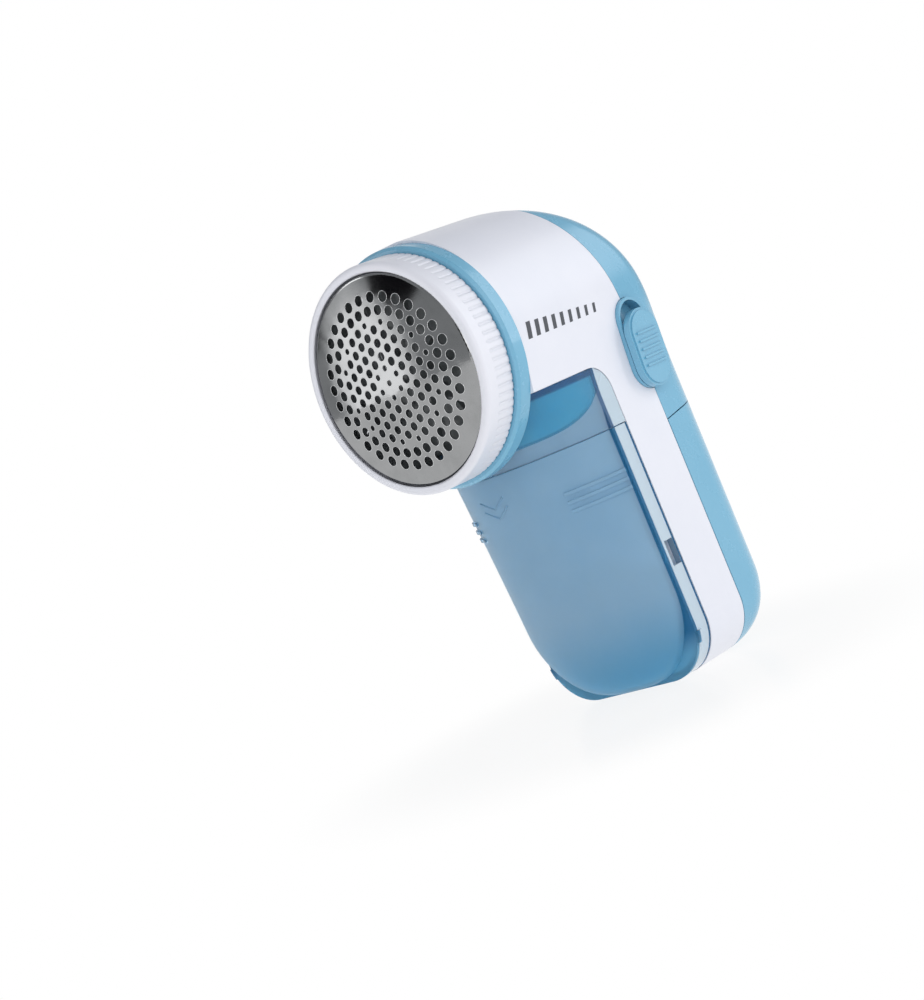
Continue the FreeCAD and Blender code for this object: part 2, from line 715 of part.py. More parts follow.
def bridge_contact():
    plate = block(-12, 12, CELL_D - 4, CELL_D + 4, 4.9, 5.35)
    post = rod_z(1.6, 5.3, CELL_BOTTOM_Z - 0.05, -CELL_X, CELL_D)
    return plate.fuse(post)


def terminal(side):
    x = side * CELL_X
    plate = block(x - 4.5, x + 4.5, CELL_D - 4, CELL_D + 4, 59.55, 60.0)
    tab = block(x - 1.5, x + 1.5, CELL_D - 6.8, CELL_D - 6.4, 59.55, 64.5)
    foot = block(x - 1.5, x + 1.5, CELL_D - 6.8, CELL_D - 3.9, 59.55, 60.0)
    plate = plate.fuse(foot).fuse(tab)
    if side > 0:
        plate = plate.fuse(rod_z(1.6, CELL_TOP_Z + 0.05, 59.6, x, CELL_D))
    return plate


def battery_cradle(bay):
    """The moulded saddle that the two cells lie in, with a floor and a bulkhead."""
    saddle = block(-16.5, 16.5, 46.0, CELL_D - 1.0, 5.6, 59.4)
    for side in (-1, 1):
        saddle = saddle.cut(rod_z(CELL_R + 0.25, 4, 62, side * CELL_X, CELL_D))
    saddle = saddle.cut(block(-9, 9, 44, 47.2, 12, 54))
    floor = block(-16.5, 16.5, 46.0, 66.0, 3.2, 4.85)
    link = block(-16.5, 16.5, 46.0, 49.5, 3.2, 5.7)
    bulkhead = block(-20.5, 20.5, 46.0, 68.0, 60.05, 61.5)
    bulkhead = bulkhead.fuse(block(-16.5, 16.5, 46.0, 49.5, 59.3, 60.1))
    for side in (-1, 1):
        x = side * CELL_X
        bulkhead = bulkhead.cut(block(x - 2.0, x + 2.0, CELL_D - 7.2, CELL_D - 6.0, 58, 63))
    return saddle.fuse(link).fuse(floor).fuse(bulkhead).common(bay).removeSplitter()


# ---- switch ----
def switch_well():
    """The blue cup let into the side wall; the slider's shoe runs inside it."""
    length = SLIDER_LENGTH + 3.4
    cup = switch_plate(length, 12.0, -3.4, 0.75, 1.7)
    pocket = switch_plate(length - 1.6, 10.4, -2.3, 2.0, 1.7)
    slot = switch_plate(9.0, 2.6, -5.0, 0.0, SWITCH_TRAVEL / 2.0)
    return cup.cut(pocket).cut(slot)


def switch_slider():
    """Oval thumb slider with a shoe in the well, a stem through the slot and grip bars."""
    cap = switch_plate(SLIDER_LENGTH, SLIDER_WIDTH, 1.1, 2.9)
    crown = switch_plate(SLIDER_LENGTH - 1.4, SLIDER_WIDTH - 1.4, 2.85, 3.3)
    shoe = switch_plate(SLIDER_LENGTH - 3.6, 9.6, -1.9, 1.15, -0.5)
    stem = switch_plate(5.0, 2.2, -5.4, -1.8, 0.0)
    slider = cap.fuse(crown).fuse(shoe).fuse(stem)
    for index in range(5):
        bar = Part.makeBox(0.5, 8.6, 0.55, FreeCAD.Vector(3.25, -4.3, -0.28 + 2.1 * (index - 2)))
        slider = slider.fuse(place_on_switch_side(bar))
    return slider.removeSplitter()


def switch_body():
    """The slide switch behind the well, with three solder tags."""
    case = Part.makeBox(5.0, 6.4, 14.0, FreeCAD.Vector(-9.6, -3.2, -5.3))
    track = Part.makeBox(2.2, 2.8, 9.4, FreeCAD.Vector(-6.6, -1.4, -3.0))
    body = case.cut(track)
    for index in (-1, 0, 1):
        tag = Part.makeBox(2.6, 0.4, 1.4, FreeCAD.Vector(-12.1, -0.2, 1.0 + 4.0 * index))
        body = body.fuse(tag)
    return place_on_switch_side(body)


def build():
    os.makedirs("parts", exist_ok=True)
    outer = casing_form(0.0, BARREL_FRONT_D)
    cavity = casing_form(WALL, BARREL_FRONT_D - 3.0)
    room = casing_form(WALL + 0.2, BARREL_FRONT_D - 3.0)
    bay = casing_form(WALL + DOOR_GAP, BARREL_FRONT_D - 3.0)
    boss_space = casing_form(WALL / 2.0, BARREL_FRONT_D + 0.5)
    shell = outer.cut(cavity)
    well_hole = switch_plate(SLIDER_LENGTH + 3.6, 12.2, -8.0, 8.0, 1.7)
    white = shell.cut(spine_region(0.0)).cut(well_hole)
    spine = shell.common(spine_region(SEAM_GAP)).cut(well_hole)
    door = shell.common(spine_region(DOOR_GAP)).common(below_door_seam(DOOR_GAP))

    parts = {
        "housing_left": housing_half(-1, white, boss_space),
        "housing_right": housing_half(1, white, boss_space),
        "housing_screws": housing_screws(),
        "spine_cover": spine.cut(below_door_seam(0.0)),
        "battery_door": door,
        "collar_ring": collar_ring(),
        "cap_ring": cap_ring(),
        "foil_guard": foil_guard(),
        "cutting_chamber": cutting_chamber(),
        "cutter_hub": cutter_hub(),
        "cutter_spring": cutter_spring(),
        "fan_impeller": fan_impeller(),
        "drive_shaft": drive_shaft(),
        "motor_can": motor_can(),
        "motor_magnets": motor_magnets(),
        "armature": armature(),
        "commutator": commutator(),
        "motor_end_cap": motor_end_cap(),
        "front_bush": motor_bush(MOTOR_FRONT_D - 1.7, MOTOR_FRONT_D + 1.5),
        "rear_bush": motor_bush(MOTOR_BACK_D + 0.3, MOTOR_BACK_D + 3.5),
        "motor_bracket": motor_bracket(room),
        "motor_screws": motor_screws(),
        "neck_chute": neck_chute(),
        "lint_bin": lint_bin(),
        "bin_catches": bin_catches(),
        "battery_cell_left": battery_cell(-1, False),
        "battery_cell_right": battery_cell(1, True),
        "battery_springs": battery_springs(),
        "bridge_contact": bridge_contact(),
        "terminal_negative": terminal(-1),
        "terminal_positive": terminal(1),
        "battery_cradle": battery_cradle(bay),
        "switch_well": switch_well(),
        "switch_slider": switch_slider(),
        "switch_body": switch_body(),
    }
    for index in range(3):
        parts["cutter_blade_%d" % (index + 1)] = cutter_blade(120 * index)
    for name, shape in parts.items():
        shape.exportStep("parts/%s.step" % name)
        box = shape.BoundBox
        print("%-20s solids %d valid %s volume %9.1f  x %.1f..%.1f y %.1f..%.1f z %.1f..%.1f" % (
            name, len(shape.Solids), shape.isValid(), shape.Volume,
            box.XMin, box.XMax, box.YMin, box.YMax, box.ZMin, box.ZMax))


build()
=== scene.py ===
import bmesh
import bpy
import math
from mathutils import Matrix, Vector
from mathutils.bvhtree import BVHTree


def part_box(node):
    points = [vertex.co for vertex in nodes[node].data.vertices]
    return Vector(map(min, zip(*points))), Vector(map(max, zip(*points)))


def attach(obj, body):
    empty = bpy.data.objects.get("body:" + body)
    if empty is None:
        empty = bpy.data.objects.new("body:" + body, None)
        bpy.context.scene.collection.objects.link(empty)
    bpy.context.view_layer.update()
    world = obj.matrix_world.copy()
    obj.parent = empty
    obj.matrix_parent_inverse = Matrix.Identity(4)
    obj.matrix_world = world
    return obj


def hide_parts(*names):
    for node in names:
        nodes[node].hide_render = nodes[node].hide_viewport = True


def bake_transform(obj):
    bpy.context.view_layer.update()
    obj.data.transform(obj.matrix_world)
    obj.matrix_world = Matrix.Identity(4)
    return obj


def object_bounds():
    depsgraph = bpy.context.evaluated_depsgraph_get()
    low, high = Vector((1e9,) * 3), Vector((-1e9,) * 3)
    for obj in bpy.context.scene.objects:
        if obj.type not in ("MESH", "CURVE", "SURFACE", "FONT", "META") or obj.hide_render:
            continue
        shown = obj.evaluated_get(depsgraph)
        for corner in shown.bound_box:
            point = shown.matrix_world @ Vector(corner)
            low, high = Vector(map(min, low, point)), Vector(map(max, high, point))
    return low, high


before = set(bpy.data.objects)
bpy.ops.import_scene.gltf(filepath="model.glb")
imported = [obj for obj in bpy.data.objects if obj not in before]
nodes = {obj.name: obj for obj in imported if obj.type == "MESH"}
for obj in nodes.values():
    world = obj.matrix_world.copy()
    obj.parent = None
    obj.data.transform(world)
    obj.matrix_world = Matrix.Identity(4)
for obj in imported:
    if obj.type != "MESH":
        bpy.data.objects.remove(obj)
cad_box = [list(corner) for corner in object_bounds()]

# ---------------------------------------------------------------- sizes read from the frame, in metres
MM = 0.001
foil_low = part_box("foil_guard")[0]
cap_low, cap_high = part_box("cap_ring")
bin_low, bin_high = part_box("lint_bin")
door_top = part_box("battery_door")[1].z
floor_z = cad_box[0][2]
head_axis = Vector((0.0, 0.0, (cap_low.z + cap_high.z) / 2))
foil_radius = 27.3 * MM
dome_rise = 2.6 * MM
rim_y = foil_low.y + dome_rise
rail_y = rim_y + 36.6 * MM
bead_front = rail_y - 0.5 * MM
bead_back = rail_y + 1.1 * MM
edge_blur = 0.2 * MM
far_out = 0.1

# ---------------------------------------------------------------- colours, linear: a main tone and its shade
WHITE_PLASTIC = (0.785, 0.80, 0.87), (0.755, 0.775, 0.85)
CAP_PLASTIC = (0.79, 0.80, 0.865), (0.75, 0.765, 0.83)
SKY_BLUE = (0.175, 0.445, 0.63), (0.150, 0.415, 0.60)
SLATE = (0.22, 0.24, 0.25), (0.17, 0.19, 0.20)
TRAY_GREY = (0.55, 0.57, 0.60), (0.48, 0.50, 0.53)
FROSTED_BLUE = (0.46, 0.70, 0.88), (0.41, 0.66, 0.85)
CLEAR_BLUE = (0.13, 0.62, 0.90), (0.10, 0.56, 0.86)
FOIL_STEEL = (0.340, 0.345, 0.350), (0.300, 0.306, 0.310)
COPPER = (0.62, 0.26, 0.11), (0.45, 0.17, 0.07)
SLEEVE_NAVY = (0.035, 0.06, 0.12), (0.02, 0.035, 0.075)
FLOOR_WHITE = (0.94, 0.94, 0.945), (0.93, 0.93, 0.935)
RUBBED = (0.92, 0.94, 0.96)
FOOT_TEAL = (0.13, 0.52, 0.80)
# pale rail tones: clearer plastic, partly a painted highlight along the rail
BIN_RAIL_HIGHLIGHT = (0.80, 0.87, 0.93)
NECK_RAIL_HIGHLIGHT = (0.72, 0.83, 0.91)
RAIL_CORE_HIGHLIGHT = (0.66, 0.80, 0.90, 1.0)
BEAD_NAVY = (0.035, 0.22, 0.45)
FROST_EDGE = (0.03, 0.22, 0.42)
# navy for the dark bead, and for the painted shadow under the housing's seam
BEAD_AND_SEAM_SHADOW_NAVY = (0.02, 0.13, 0.36)
SLEEVE_GOLD = (0.62, 0.42, 0.12)
CELL_END = (0.6, 0.6, 0.58)
INK = (0.05, 0.056, 0.07)
WORN_INK = (0.42, 0.44, 0.48)
WHITE_LIGHT = (1.0, 1.0, 1.0, 1.0)


# ---------------------------------------------------------------- shader maths
class Field:
    """A socket in a finish's node tree that Python arithmetic works on."""

    def __init__(self, finish, socket):
        self.finish = finish
        self.socket = socket

    def _math(self, operation, left, right=None):
        values = {0: left} if right is None else {0: left, 1: right}
        return self.finish.node("ShaderNodeMath", {"operation": operation}, values)

    def __add__(self, other):
        return self._math("ADD", self, other)

    __radd__ = __add__

    def __sub__(self, other):
        return self._math("SUBTRACT", self, other)

    def __rsub__(self, other):
        return self._math("SUBTRACT", other, self)

    def __mul__(self, other):
        return self._math("MULTIPLY", self, other)

    __rmul__ = __mul__

    def __truediv__(self, other):
        return self._math("DIVIDE", self, other)

    def __pow__(self, other):
        return self._math("POWER", self, other)

    def below(self, other):
        return self._math("LESS_THAN", self, other)

    def above(self, other):
        return self._math("GREATER_THAN", self, other)

    def at_most(self, other):
        return self._math("MINIMUM", self, other)

    def at_least(self, other):
        return self._math("MAXIMUM", self, other)

    def wave(self):
        return self._math("SINE", self)

    def ramp(self, low, high):
        """0 below low, 1 above high, smooth between."""
        return self.finish.node(
            "ShaderNodeMapRange",
            {"interpolation_type": "SMOOTHSTEP"},
            {"Value": self, "From Min": low, "From Max": high},
        )


class Wiring:
    """A node tree, and the one method that adds nodes to it."""

    def __init__(self, owner):
        owner.use_nodes = True
        self.tree = owner.node_tree
        self.tree.nodes.clear()

    def node(self, kind, settings=None, inputs=None, output=0):
        made = self.tree.nodes.new(kind)
        for name, value in (settings or {}).items():
            setattr(made, name, value)
        for socket, value in (inputs or {}).items():
            if isinstance(value, Field):
                self.tree.links.new(value.socket, made.inputs[socket])
            else:
                made.inputs[socket].default_value = value
        return None if output is None else Field(self, made.outputs[output])

    def mix(self, share, first, second):
        """A blend of two colours, given as sockets or as red, green, blue."""
        colours = [c if isinstance(c, Field) else (*c, 1.0) for c in (first, second)]
        return self.node("ShaderNodeMix", {"data_type": "RGBA"}, {0: share, 6: colours[0], 7: colours[1]}, 2)


class Finish(Wiring):
    """One material: a Principled surface, with the textures that feed it."""

    def __init__(self, name, **constants):
        self.material = bpy.data.materials.new(name)
        super().__init__(self.material)
        self.surface = self.tree.nodes.new("ShaderNodeBsdfPrincipled")
        self.output = self.tree.nodes.new("ShaderNodeOutputMaterial")
        self.tree.links.new(self.surface.outputs[0], self.output.inputs["Surface"])
        for name, value in constants.items():
            self.surface.inputs[name.replace("_", " ")].default_value = value
        self.place = self.node("ShaderNodeTexCoord", output="Object")

    def feed(self, **inputs):
        for name, value in inputs.items():
            self.tree.links.new(value.socket, self.surface.inputs[name.replace("_", " ")])

    def covered(self, share, shader):
        """Lays another shader over the surface, by this share of it."""
        bare = Field(self, self.surface.outputs[0])
        both = self.node("ShaderNodeMixShader", None, {0: share, 1: bare, 2: shader})
        self.tree.links.new(both.socket, self.output.inputs["Surface"])

    def pale_rail(self, share):
        """The thicker, clearer rail, nearly white: partly its clearer plastic, partly a painted highlight for
        the light that runs along inside it.
        """
        self.covered(share, self.node("ShaderNodeBsdfPrincipled", None, {
            "Base Color": RAIL_CORE_HIGHLIGHT, "Roughness": 0.16, "IOR": 1.4,
            "Transmission Weight": 0.22, "Coat Weight": 0.5, "Coat Roughness": 0.05}))

    def axis(self, letter):
        return self.node("ShaderNodeSeparateXYZ", None, {0: self.place}, letter)

    def stretched(self, scale):
        return self.node("ShaderNodeVectorMath", {"operation": "MULTIPLY"}, {0: self.place, 1: scale})

    def noise(self, size, detail=3.0, roughness=0.55, place=None):
        """Clouds about this many metres across, from 0 to 1."""
        return self.node("ShaderNodeTexNoise", None, {
            "Vector": place or self.place, "Scale": 1.0 / size, "Detail": detail, "Roughness": roughness})

    def cells(self, size):
        """Distance to the nearest of the scattered points about this many metres apart."""
        inputs = {"Vector": self.place, "Scale": 1.0 / size}
        return self.node("ShaderNodeTexVoronoi", None, inputs, "Distance")

    def bump(self, height, depth, edge=0.0):
        """Relief of the given depth in metres, over edges softened by a radius where one is given."""
        inputs = {"Strength": 1.0, "Distance": depth, "Height": height}
        if edge:
            inputs["Normal"] = self.node("ShaderNodeBevel", {"samples": 4}, {"Radius": edge})
        return self.node("ShaderNodeBump", None, inputs)


def moulded(name, tones, rough, grain=0.006 * MM, edge=0.12 * MM, **constants):
    """Injection-moulded plastic: flow clouds, a fine spark-eroded grain, rub marks and finger film."""
    finish = Finish(name, **constants)
    flow = finish.noise(16 * MM, 4.0)
    speckle = finish.noise(1.1 * MM, 2.0)
    rub = finish.noise(0.6 * MM, 2.0, place=finish.stretched((1.0, 1.0, 0.12))).ramp(0.64, 0.8)
    film = finish.noise(9 * MM, 5.0, 0.65).ramp(0.42, 0.72)
    tone = finish.mix(flow.ramp(0.3, 0.7) * 0.7 + speckle * 0.3, *tones)
    finish.feed(
        Base_Color=finish.mix(rub * 0.03, tone, RUBBED),
        Roughness=rough + film * 0.07 - rub * 0.03 + speckle * 0.03,
        Normal=finish.bump(finish.noise(0.42 * MM, 3.0, 0.6) + rub * 0.04, grain, edge),
    )
    return finish.material


def bead_and_rail(depth):
    """Where the dark bead runs along the rail's front, and where the clear rail lies behind it."""
    rail = depth.ramp(bead_back - edge_blur, bead_back + edge_blur)
    before_back = depth.ramp(bead_back + edge_blur, bead_back - edge_blur)
    bead = depth.ramp(bead_front - edge_blur, bead_front + edge_blur) * before_back
    return bead, rail


def frosted_bin():
    """Blue see-through plastic: frosted all over, clear along its rail, which is painted pale as a highlight,
    with a dark bead and back lip.
    """
    finish = Finish("frosted_bin", IOR=1.25, Transmission_Weight=0.62)
    flow = finish.noise(20 * MM, 4.0)
    frost = finish.noise(0.4 * MM, 2.0)
    rub = finish.noise(0.6 * MM, 3.0, place=finish.stretched((1.0, 1.0, 0.1))).ramp(0.63, 0.8)
    depth = finish.axis("Y")
    height = finish.axis("Z")
    foot = height.ramp(bin_low.z + 26 * MM, bin_low.z + 2 * MM)
    bead, rail = bead_and_rail(depth)
    lip = depth.ramp(bin_high.y - 0.85 * MM, bin_high.y - 0.55 * MM)
    above_sole = height.ramp(bin_low.z + 5 * MM, bin_low.z + 12 * MM)
    body = finish.mix(flow.ramp(0.3, 0.7), *FROSTED_BLUE)
    body = finish.mix(foot * 0.85, body, FOOT_TEAL)
    # the rail's pale tone is partly a painted highlight
    body = finish.mix(rail, body, BIN_RAIL_HIGHLIGHT)
    body = finish.mix((bead * above_sole + lip).at_most(1.0), body, BEAD_NAVY)
    finish.feed(
        Base_Color=body,
        Roughness=0.34 + frost * 0.1 - rub * 0.06 - rail * 0.18,
        Normal=finish.bump(frost + rub * 0.3, 0.012 * MM, 0.2 * MM),
    )
    finish.pale_rail(rail * (1 - lip) * 0.85)
    return finish.material


def clear_neck():
    """The same blue plastic polished clear above a curved line, frosted below it."""
    finish = Finish("clear_neck", IOR=1.3, Transmission_Weight=0.70, Coat_Weight=0.4, Coat_Roughness=0.05)
    flow = finish.noise(12 * MM, 3.0)
    frost = finish.noise(0.4 * MM, 2.0)
    rub = finish.noise(0.7 * MM, 3.0, place=finish.stretched((0.2, 1.0, 1.0))).ramp(0.64, 0.8)
    depth = finish.axis("Y")
    height = finish.axis("Z")
    run_up = (depth - (rail_y - 18 * MM)) / (21 * MM)
    frost_low = head_axis.z - 27.1 * MM
    frost_climb = 8.6 * MM
    frost_line = run_up.at_least(0.0) ** 2.4 * frost_climb + frost_low
    glossy = (height - frost_line).ramp(-0.3 * MM, 0.3 * MM)
    edge_band = glossy * (height - frost_line).ramp(0.9 * MM, 0.5 * MM)
    # painted shadow: a dark band on the neck just under the seam, where the housing's edge overhangs it
    shadow_under_seam = height.ramp(head_axis.z - 17.5 * MM, head_axis.z - 16.7 * MM)
    bead, rail = bead_and_rail(depth)
    deep = finish.mix(flow.ramp(0.3, 0.7), *CLEAR_BLUE)
    matt = finish.mix(flow.ramp(0.3, 0.7), *FROSTED_BLUE)
    tone = finish.mix(glossy, matt, deep)
    tone = finish.mix(edge_band * 0.5, tone, FROST_EDGE)
    # the rail's pale tone is partly a painted highlight
    tone = finish.mix(rail, tone, NECK_RAIL_HIGHLIGHT)
    # the dark bead, and the painted shadow under the seam
    tone = finish.mix((shadow_under_seam + bead).at_most(1.0) * 0.85, tone, BEAD_AND_SEAM_SHADOW_NAVY)
    finish.feed(
        Base_Color=tone,
        Roughness=0.36 - glossy * 0.26 + flow * 0.05 + rub * 0.1,
        Normal=finish.bump(flow + frost * (1 - glossy) + rub * 0.2, 0.015 * MM, 0.2 * MM),
    )
    finish.pale_rail(rail * 0.85)
    return finish.material


def polished_foil():
    """Thin rolled steel: mirror bright, with faint haze and handling marks."""
    finish = Finish("polished_foil", Metallic=1.0)
    haze = finish.noise(6 * MM, 5.0, 0.65)
    grain = finish.noise(0.4 * MM, 2.0, place=finish.stretched((0.15, 1.0, 1.0)))
    nick = finish.cells(4 * MM).below(0.03)
    finish.feed(
        Base_Color=finish.mix(haze.ramp(0.35, 0.75), *FOIL_STEEL),
        Roughness=0.045 + haze * 0.06 + nick * 0.1,
        Normal=finish.bump(grain * 0.5 + haze * 0.5, 0.003 * MM),
    )
    return finish.material


def ground_steel(name, colour, rough):
    """Steel with fine grinding lines round it and a cloudy oil film."""
    finish = Finish(name, Metallic=1.0)
    grind = finish.noise(0.3 * MM, 3.0, place=finish.stretched((1.0, 0.08, 1.0)))
    haze = finish.noise(3 * MM, 4.0)
    darker = tuple(0.8 * part for part in colour)
    finish.feed(
        Base_Color=finish.mix(haze.ramp(0.3, 0.75), colour, darker),
        Roughness=rough + grind * 0.12 + haze * 0.08,
        Normal=finish.bump(grind, 0.008 * MM, 0.06 * MM),
    )
    return finish.material


def wound_copper():
    """Enamelled wire laid in turns along the shaft."""
    finish = Finish("wound_copper", Metallic=0.85)
    wire_pitch = 0.45 * MM
    turns = (finish.axis("Y") * (2 * math.pi / wire_pitch)).wave()
    haze = finish.noise(2 * MM, 3.0)
    finish.feed(
        Base_Color=finish.mix(haze, *COPPER),
        Roughness=0.3 + haze * 0.15,
        Normal=finish.bump(turns, 0.08 * MM),
    )
    return finish.material


def sintered(name, colour, metal):
    """Pressed and fired powder, matt and full of small pores."""
    finish = Finish(name, Metallic=metal)
    pores = finish.cells(0.4 * MM)
    haze = finish.noise(2 * MM, 4.0)
    darker = tuple(0.6 * part for part in colour)
    finish.feed(
        Base_Color=finish.mix(haze, colour, darker),
        Roughness=0.5 + haze * 0.2,
        Normal=finish.bump(pores, 0.03 * MM),
    )
    return finish.material


def cell_sleeve():
    """A shrink sleeve: plain dark body, one bright band and bare metal ends."""
    finish = Finish("cell_sleeve", Coat_Weight=0.6, Coat_Roughness=0.08)
    cell_low, cell_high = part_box("battery_cell_left")
    height = finish.axis("Z")
    bare_end = 1.8 * MM
    band_top, band_foot = 3 * MM, 16 * MM
    band = height.above(cell_high.z - band_foot) * height.below(cell_high.z - band_top)
    end = (height.above(cell_high.z - bare_end) + height.below(cell_low.z + bare_end)).at_most(1.0)
    haze = finish.noise(4 * MM, 4.0)
    sleeve = finish.mix(haze, *SLEEVE_NAVY)
    banded = finish.mix(band, sleeve, SLEEVE_GOLD)
    finish.feed(
        Base_Color=finish.mix(end, banded, CELL_END),
        Metallic=end * 0.9 + band * (1 - end) * 0.4,
        Roughness=0.22 + haze * 0.1,
        Normal=finish.bump(haze, 0.02 * MM),
    )
    return finish.material


def printed_ink():
    """Pad-printed ink, a little thin where thumbs rub it."""
    finish = Finish("printed_ink")
    speck = finish.noise(0.3 * MM, 2.0)
    worn = finish.noise(2 * MM, 4.0).ramp(0.66, 0.82)
    finish.feed(
        Base_Color=finish.mix(worn * 0.3 + speck * 0.06, INK, WORN_INK),
        Roughness=0.42 + speck * 0.15,
        Normal=finish.bump(speck, 0.008 * MM),
    )
    return finish.material


white = moulded("white_casing", WHITE_PLASTIC, 0.32, Coat_Weight=0.2, Coat_Roughness=0.18)
cap_white = moulded("white_cap", CAP_PLASTIC, 0.34, edge=0.6 * MM, Coat_Weight=0.2, Coat_Roughness=0.2)
sky_blue = moulded("sky_blue_casing", SKY_BLUE, 0.24, grain=0.002 * MM, Coat_Weight=0.45, Coat_Roughness=0.08)
slate = moulded("slate_moulding", SLATE, 0.36, Coat_Weight=0.3)
tray_grey = moulded("grey_tray", TRAY_GREY, 0.5)
frosted = frosted_bin()
clear = clear_neck()
foil_steel = polished_foil()
blade_steel = ground_steel("blade_steel", (0.62, 0.63, 0.65), 0.2)
can_steel = ground_steel("can_steel", (0.55, 0.56, 0.57), 0.26)
nickel = ground_steel("nickel_plate", (0.68, 0.66, 0.60), 0.18)
clip_steel = ground_steel("clip_steel", (0.90, 0.92, 0.95), 0.42)
copper = wound_copper()
bronze = sintered("sintered_bronze", (0.48, 0.30, 0.12), 0.9)
ferrite = sintered("ferrite", (0.05, 0.05, 0.055), 0.1)
sleeve = cell_sleeve()
ink = printed_ink()

node_finish = {
    "housing_left": white, "housing_right": white, "housing_screws": nickel,
    "spine_cover": sky_blue, "battery_door": sky_blue, "collar_ring": sky_blue,
    "cap_ring": cap_white, "foil_guard": foil_steel, "cutting_chamber": slate,
    "cutter_hub": slate, "cutter_blade_1": blade_steel, "cutter_blade_2": blade_steel,
    "cutter_blade_3": blade_steel, "cutter_spring": nickel, "fan_impeller": slate,
    "drive_shaft": blade_steel, "motor_can": can_steel, "motor_magnets": ferrite,
    "armature": copper, "commutator": copper, "motor_end_cap": slate,
    "front_bush": bronze, "rear_bush": bronze, "motor_bracket": tray_grey, "motor_screws": nickel,
    "neck_chute": clear, "lint_bin": frosted, "bin_catches": clip_steel,
    "battery_cell_left": sleeve, "battery_cell_right": sleeve, "battery_springs": nickel,
    "bridge_contact": nickel, "terminal_negative": nickel, "terminal_positive": nickel,
    "battery_cradle": tray_grey, "switch_well": sky_blue, "switch_slider": sky_blue,
    "switch_body": slate,
}
for node_name, material in node_finish.items():
    for material_slot in nodes[node_name].material_slots:
        material_slot.material = material


# ---------------------------------------------------------------- pieces built from meshes
def new_piece(name, shape, body, material):
    """Turns a finished bmesh into a smooth-shaded piece, riding on one body of the frame if one is given."""
    bmesh.ops.recalc_face_normals(shape, faces=shape.faces)
    mesh = bpy.data.meshes.new(name)
    shape.to_mesh(mesh)
    shape.free()
    for face in mesh.polygons:
        face.use_smooth = True
    piece = bpy.data.objects.new(name, mesh)
    bpy.context.scene.collection.objects.link(piece)
    mesh.materials.append(material)
    if body:
        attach(piece, body)
    return piece


def add_tube(shape, path, radius, sides=10, closed=False):
    """A round tube along a list of points, with flat ends unless it closes on itself."""
    count = len(path)
    rings = []
    side = None
    for index, spot in enumerate(path):
        ahead = path[(index + 1) % count] if closed or index + 1 < count else spot
        behind = path[index - 1] if closed or index else spot
        along = (ahead - behind).normalized()
        if side is None:
            side = along.orthogonal().normalized()
        side = (side - along * side.dot(along)).normalized()
        over = along.cross(side)
        ring = []
        for step in range(sides):
            turn = 2 * math.pi * step / sides
            ring.append(shape.verts.new(spot + (side * math.cos(turn) + over * math.sin(turn)) * radius))
        rings.append(ring)
    for index in range(count if closed else count - 1):
        one, two = rings[index], rings[(index + 1) % count]
        for step in range(sides):
            shape.faces.new((one[step], one[(step + 1) % sides], two[(step + 1) % sides], two[step]))
    if not closed:
        shape.faces.new(rings[0])
        shape.faces.new(rings[-1])


def add_slab(shape, corners, normal, thick):
    """A thin plate with its face on an outline of points, and its back this thick behind it."""
    front = [shape.verts.new(spot) for spot in corners]
    back = [shape.verts.new(spot - normal * thick) for spot in corners]
    shape.faces.new(front)
    shape.faces.new(list(reversed(back)))
    for index in range(len(corners)):
        after = (index + 1) % len(corners)
        shape.faces.new((front[index], back[index], back[after], front[after]))


class Skin:
    """The outer surface of a CAD node, to lay small pieces on."""

    def __init__(self, node_name):
        mesh = nodes[node_name].data
        spots = [vertex.co.copy() for vertex in mesh.vertices]
        self.tree = BVHTree.FromPolygons(spots, [tuple(face.vertices) for face in mesh.polygons])

    def under(self, outside, inward, lift):
        """Where a line from a point outside first meets the surface, lifted off it."""
        spot, normal, _, _ = self.tree.ray_cast(Vector(outside), Vector(inward))
        return spot + normal * lift

    def from_side(self, y, z, lift):
        return self.under((far_out, y, z), (-1.0, 0.0, 0.0), lift)

    def from_front(self, x, z, lift):
        return self.under((x, -far_out, z), (0.0, 1.0, 0.0), lift)

    def from_back(self, x, z, lift):
        return self.under((x, far_out, z), (0.0, -1.0, 0.0), lift)


def foil_hole_places():
    """Centres and radii of the foil's holes about the head's axis: two rings round a hexagonal field."""
    ring_holes = 32
    outer_ring = 21.1 * MM, 1.35 * MM, 1.5
    inner_ring = 17.9 * MM, 1.28 * MM, 7.1
    pitch, field_tilt, field_rings = 3.33 * MM, 23.8, 5
    wide, small = 1.13 * MM, 0.76 * MM
    first_ring_spread, corner_pair_spread = 1.12, 0.985
    holes = []
    for radius, hole, start in (outer_ring, inner_ring):
        for index in range(ring_holes):
            turn = math.radians(start) + 2 * math.pi * index / ring_holes
            holes.append((radius * math.cos(turn), radius * math.sin(turn), hole))
    holes.append((0.0, 0.0, small))
    for ring in range(1, field_rings + 1):
        for sector in range(6):
            a = math.radians(field_tilt + 60 * sector)
            b = math.radians(field_tilt + 60 * (sector + 2))
            for step in range(ring):
                if ring == field_rings and step == 0:
                    continue
                beside_corner = ring == field_rings and step in (1, field_rings - 1)
                spread = pitch
                if ring == 1:
                    spread *= first_ring_spread
                elif beside_corner:
                    spread *= corner_pair_spread
                x = spread * (ring * math.cos(a) + step * math.cos(b))
                z = spread * (ring * math.sin(a) + step * math.sin(b))
                holes.append((x, z, small if ring == 1 or beside_corner else wide))
    return holes


def dome_y(x, z):
    """How far forward the domed foil's face is at a place off its axis."""
    ball = (foil_radius ** 2 + dome_rise ** 2) / (2 * dome_rise)
    return foil_low.y + ball - math.sqrt(ball ** 2 - x * x - z * z)


